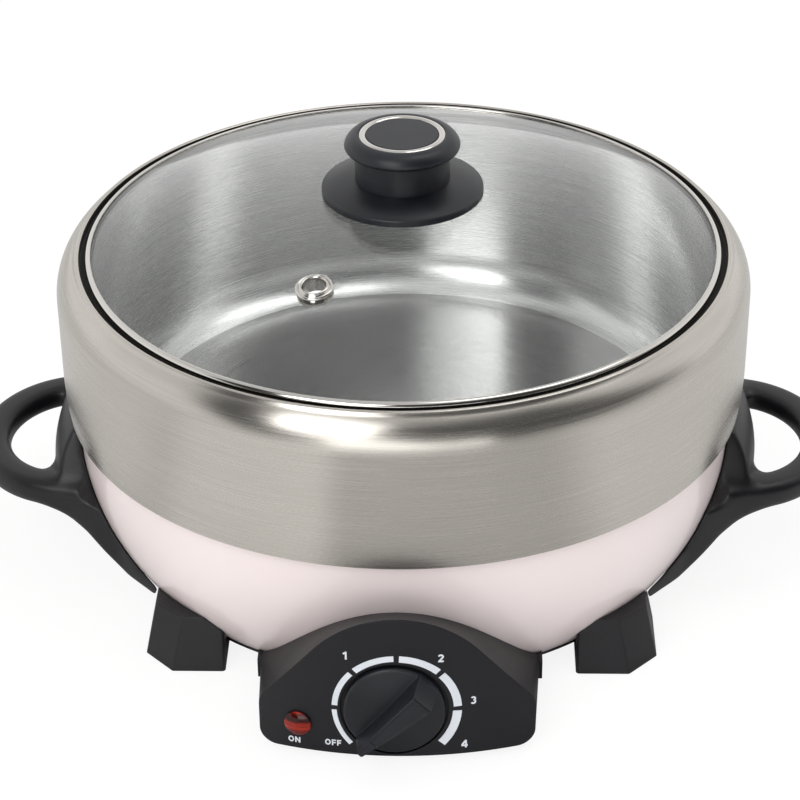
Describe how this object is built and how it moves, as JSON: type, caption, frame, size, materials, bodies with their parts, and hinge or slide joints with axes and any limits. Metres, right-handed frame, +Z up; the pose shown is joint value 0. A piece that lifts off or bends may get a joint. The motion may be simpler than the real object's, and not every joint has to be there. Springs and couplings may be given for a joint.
{
  "type": "electric hot pot",
  "caption": "Round electric hot pot: lift-out steel pot with a domed glass lid, on a heated base with side handles, feet and a dial box.",
  "frame": {"origin": "on the table, under the middle of the object's length and width", "axes": "+Z up, -Y towards the control box and its dial, +X towards the right handle as seen from the front"},
  "size_m": [0.389, 0.3334, 0.2019],
  "materials": {
    "glass": "clear tempered glass",
    "polished_steel": "polished",
    "satin_steel": "satin, brushed round",
    "brushed_inside": "brushed",
    "pink_shell": "glossy lacquer",
    "black_plastic": "fine satin texture",
    "knob_plastic": "fine satin texture",
    "cap_plastic": "smooth satin",
    "rubber": "matte",
    "cast_aluminium": "cast and turned",
    "sheet_steel": "galvanised",
    "element_sheath": "heat-darkened sheath",
    "screw_steel": "zinc plated",
    "brass": "bare",
    "copper": "drawn",
    "ceramic": "glazed ceramic",
    "print_white": "screen print",
    "lamp_red": "clear red",
    "neon_glass": "small bulb",
    "thermostat_case": "moulded phenolic",
    "lead_white": "woven glass sleeve",
    "lead_brown": "silicone sleeve",
    "block_nylon": "natural nylon"
  },
  "bodies": {
    "base": {"base_shell": "pink_shell", "well_liner": "sheet_steel", "heating_plate": "cast_aluminium", "heating_element": "element_sheath", "element_terminals": "screw_steel", "terminal_bushings": "ceramic", "plate_posts": "screw_steel", "post_screws": "screw_steel", "sensor_bulb": "copper", "bulb_clip": "sheet_steel", "thermal_fuse": "ceramic", "fuse_clip": "sheet_steel", "capillary": "copper", "bottom_plate": "black_plastic", "foot_pads": "rubber", "foot_screws": "screw_steel", "foot_front_left": "black_plastic", "foot_front_right": "black_plastic", "foot_rear_left": "black_plastic", "foot_rear_right": "black_plastic", "handle_right": "black_plastic", "handle_left": "black_plastic", "handle_screws": "screw_steel", "control_housing": "black_plastic", "housing_cover": "black_plastic", "dial_scale": "print_white", "lamp_lens": "lamp_red", "neon_lamp": "neon_glass", "thermostat_body": "thermostat_case", "thermostat_nut": "brass", "power_inlet": "black_plastic", "inlet_pins": "brass", "terminal_block": "block_nylon", "element_lead_left": "lead_white", "element_lead_right": "lead_white", "supply_lead": "lead_brown"},
    "pot": {"pot_inner": "brushed_inside", "pot_band": "satin_steel", "pot_disc": "cast_aluminium"},
    "lid": {"lid_glass": "glass", "lid_rim_band": "polished_steel", "steam_vent": "polished_steel", "knob_gasket": "rubber", "knob_flange": "knob_plastic", "knob_grip": "knob_plastic", "knob_trim_ring": "polished_steel", "knob_cap": "cap_plastic", "knob_insert": "brass", "knob_washer": "sheet_steel", "knob_screw": "screw_steel"},
    "heat_knob": {"control_knob": "knob_plastic", "thermostat_shaft": "brass"}
  },
  "joints": [
    {"name": "pot_lift", "type": "slide", "parent": "base", "child": "pot", "axis": [0, 0, 1], "range_m": [0, 0.12]},
    {"name": "lid_lift", "type": "slide", "parent": "pot", "child": "lid", "axis": [0, 0, 1], "range_m": [0, 0.12]},
    {"name": "heat_turn", "type": "hinge", "parent": "base", "child": "heat_knob", "pos_m": [-0.001, -0.15366, 0.0268], "axis": [0, 0.9988, -0.0496], "range_deg": [0, 270]}
  ]
}
